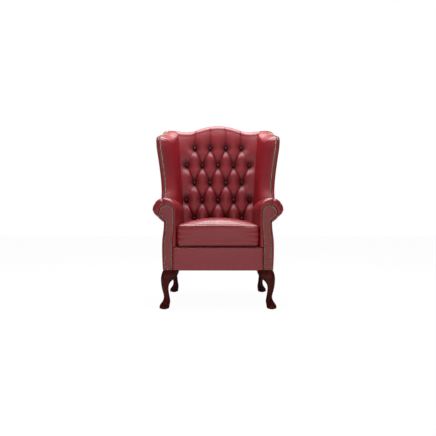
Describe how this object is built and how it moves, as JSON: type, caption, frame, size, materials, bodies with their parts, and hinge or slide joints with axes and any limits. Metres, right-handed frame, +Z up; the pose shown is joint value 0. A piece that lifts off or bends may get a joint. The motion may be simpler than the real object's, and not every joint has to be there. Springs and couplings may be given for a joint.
{
  "type": "wing chair",
  "caption": "Leather wing chair with rolled scroll arms, deep buttoned back, loose seat cushion and cabriole legs.",
  "frame": {"origin": "on the floor, under the middle of the chair's overall box", "axes": "+Z up, -Y towards the front of the chair, +X to the right as seen from the front"},
  "size_m": [0.7946, 0.7337, 1.0986],
  "materials": {
    "mahogany": "gloss",
    "beech": "matte",
    "leather": "semi-gloss",
    "cushion_leather": "semi-gloss",
    "nail_brass": "antiqued",
    "webbing": "matte",
    "platform_cloth": "matte",
    "dust_cloth": "matte",
    "foam": "matte",
    "spring_steel": "satin",
    "glide_plastic": "matte",
    "zip_tape": "matte",
    "zip_brass": "antiqued"
  },
  "bodies": {
    "root": {"leg_front_left": "mahogany", "leg_front_right": "mahogany", "leg_rear_left": "mahogany", "leg_rear_right": "mahogany", "front_seat_rail": "beech", "rear_seat_rail": "beech", "corner_blocks": "beech", "crest_rail": "beech", "lower_back_rail": "beech", "side_seat_rail_left": "beech", "side_seat_rail_right": "beech", "lower_arm_rail_left": "beech", "lower_arm_rail_right": "beech", "back_post_left": "beech", "back_post_right": "beech", "arm_stump_left": "beech", "arm_stump_right": "beech", "arm_rail_left": "beech", "arm_rail_right": "beech", "wing_frame_left": "beech", "wing_frame_right": "beech", "back_pad": "leather", "back_buttons": "leather", "outside_back_panel": "leather", "front_border": "leather", "arm_facing_left": "leather", "arm_facing_right": "leather", "arm_pad_left": "leather", "arm_pad_right": "leather", "arm_outer_panel_left": "leather", "arm_outer_panel_right": "leather", "wing_outer_panel_left": "leather", "wing_outer_panel_right": "leather", "wing_inner_pad_left": "leather", "wing_inner_pad_right": "leather", "arm_nails_left": "nail_brass", "arm_nails_right": "nail_brass", "wing_nails_left": "nail_brass", "wing_nails_right": "nail_brass", "back_webbing": "webbing", "seat_deck": "platform_cloth", "dust_cover": "dust_cloth", "seat_springs": "spring_steel", "spring_clips": "spring_steel", "spring_tie_wires": "spring_steel", "dust_cover_staples": "spring_steel", "leg_bolts": "spring_steel", "floor_glides": "glide_plastic"},
    "cushion": {"cushion_cover": "cushion_leather", "cushion_core": "foam", "cushion_zip": "zip_tape"},
    "zip_slider": {"cushion_zip_slider": "zip_brass"}
  },
  "joints": [
    {"name": "cushion_lift", "type": "slide", "parent": "root", "child": "cushion", "axis": [0, -0.8, 0.6], "range_m": [0, 0.6]},
    {"name": "zip_run", "type": "slide", "parent": "cushion", "child": "zip_slider", "axis": [1, 0, 0], "range_m": [0, 0.354]}
  ]
}
